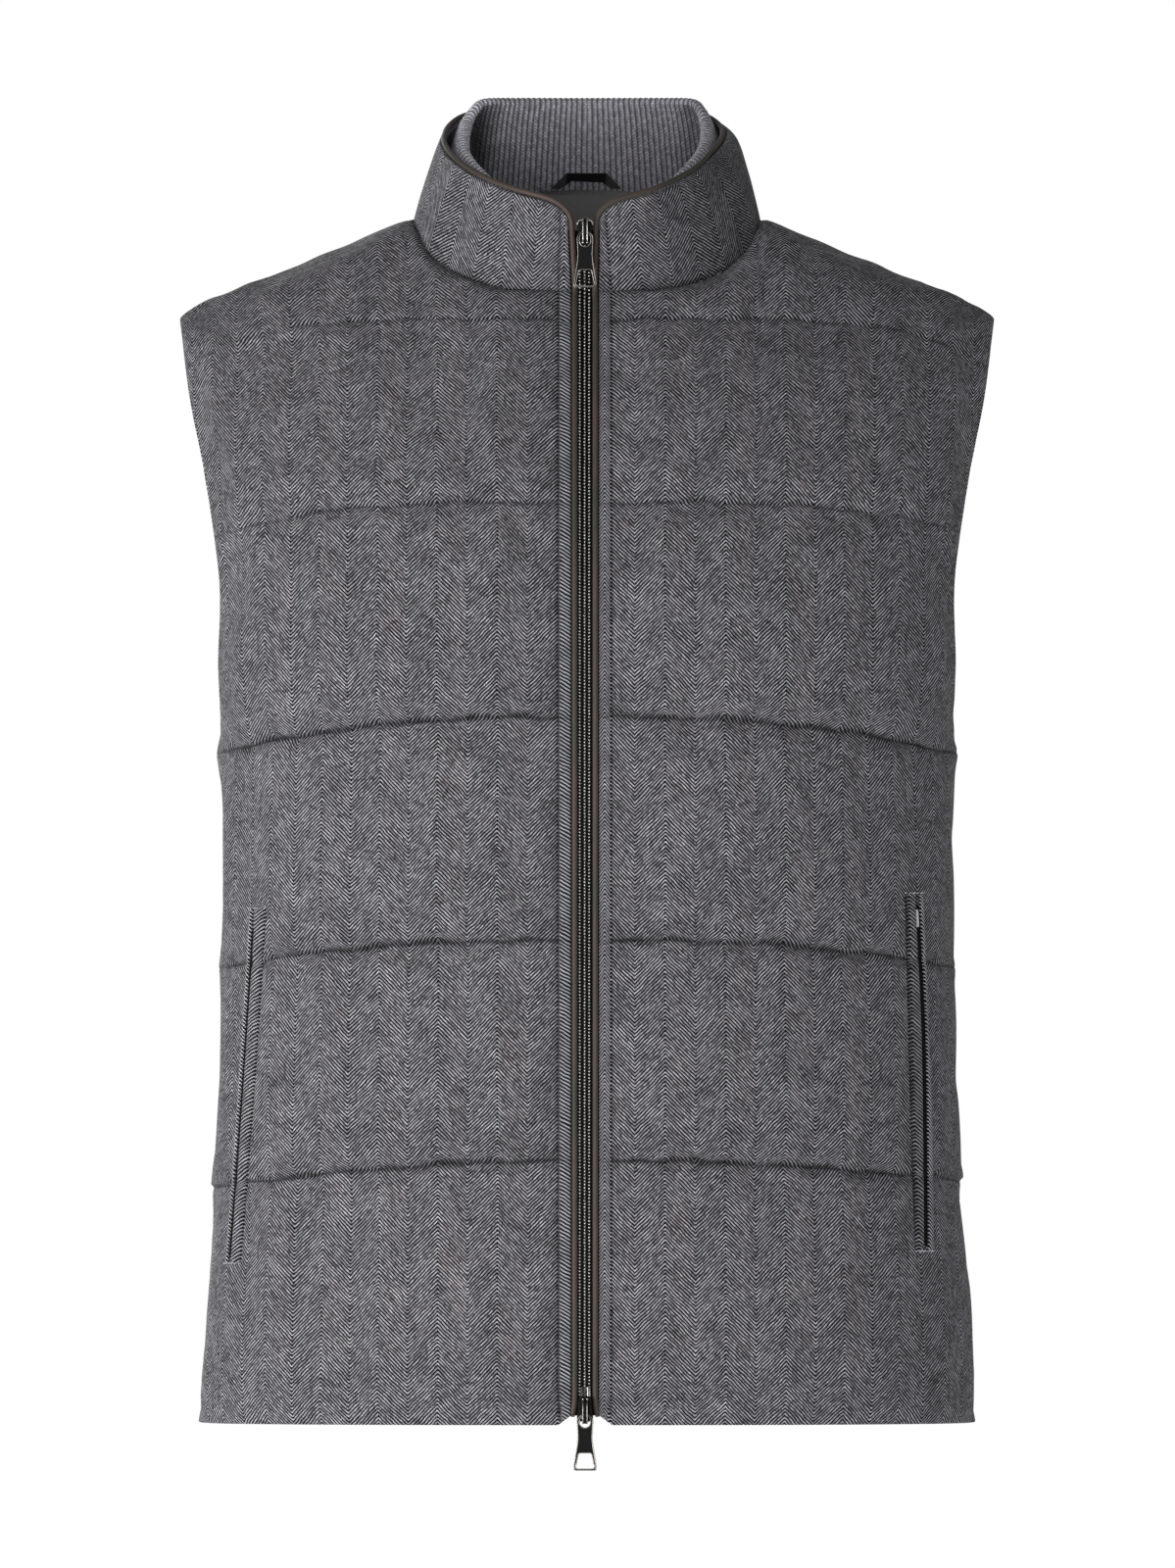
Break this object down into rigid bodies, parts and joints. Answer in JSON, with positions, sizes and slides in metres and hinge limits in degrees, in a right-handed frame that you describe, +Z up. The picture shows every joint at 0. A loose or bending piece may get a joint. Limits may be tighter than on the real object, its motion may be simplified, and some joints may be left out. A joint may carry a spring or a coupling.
{
  "type": "quilted gilet",
  "caption": "Sleeveless quilted herringbone jacket in its worn hollow form, with a ribbed inner collar, corded edges, slanted side pockets and a closed two-way zip.",
  "frame": {"origin": "midway between the two points where the shoulder seams meet the neck seam, where the wearer's neck and shoulders hold the gilet", "axes": "+Z up, -Y towards the front with the zip, +X to the right as seen from the front"},
  "size_m": [0.4596, 0.2493, 0.7693],
  "materials": {
    "herringbone": "matt brushed wool herringbone",
    "knit": "matt ribbed knit",
    "piping": "smooth taupe edge binding",
    "tape": "black woven tape",
    "zip_metal": "black nickel"
  },
  "bodies": {
    "garment": {"back": "herringbone", "collar": "herringbone", "collar_knit": "knit", "front_left": "herringbone", "front_right": "herringbone", "hanger_loop": "tape", "lip_left": "herringbone", "lip_right": "herringbone", "piping": "piping", "slider_bottom": "zip_metal", "slider_top": "zip_metal", "welt_left": "herringbone", "welt_right": "herringbone", "zip_chain": "zip_metal", "zip_pin_left": "zip_metal", "zip_pin_right": "zip_metal", "zip_tape_left": "tape", "zip_tape_right": "tape"},
    "upper_pull": {"pull_top": "zip_metal"},
    "lower_pull": {"pull_bottom": "zip_metal"}
  },
  "joints": [
    {"name": "pull_top_hinge", "type": "hinge", "parent": "garment", "child": "upper_pull", "pos_m": [-0.0011, -0.0768, -0.0082], "axis": [-1, 0, 0], "range_deg": [0, 150]},
    {"name": "pull_bottom_hinge", "type": "hinge", "parent": "garment", "child": "lower_pull", "pos_m": [-0.0011, -0.1222, -0.6712], "axis": [-1, 0, 0], "range_deg": [0, 150]}
  ]
}
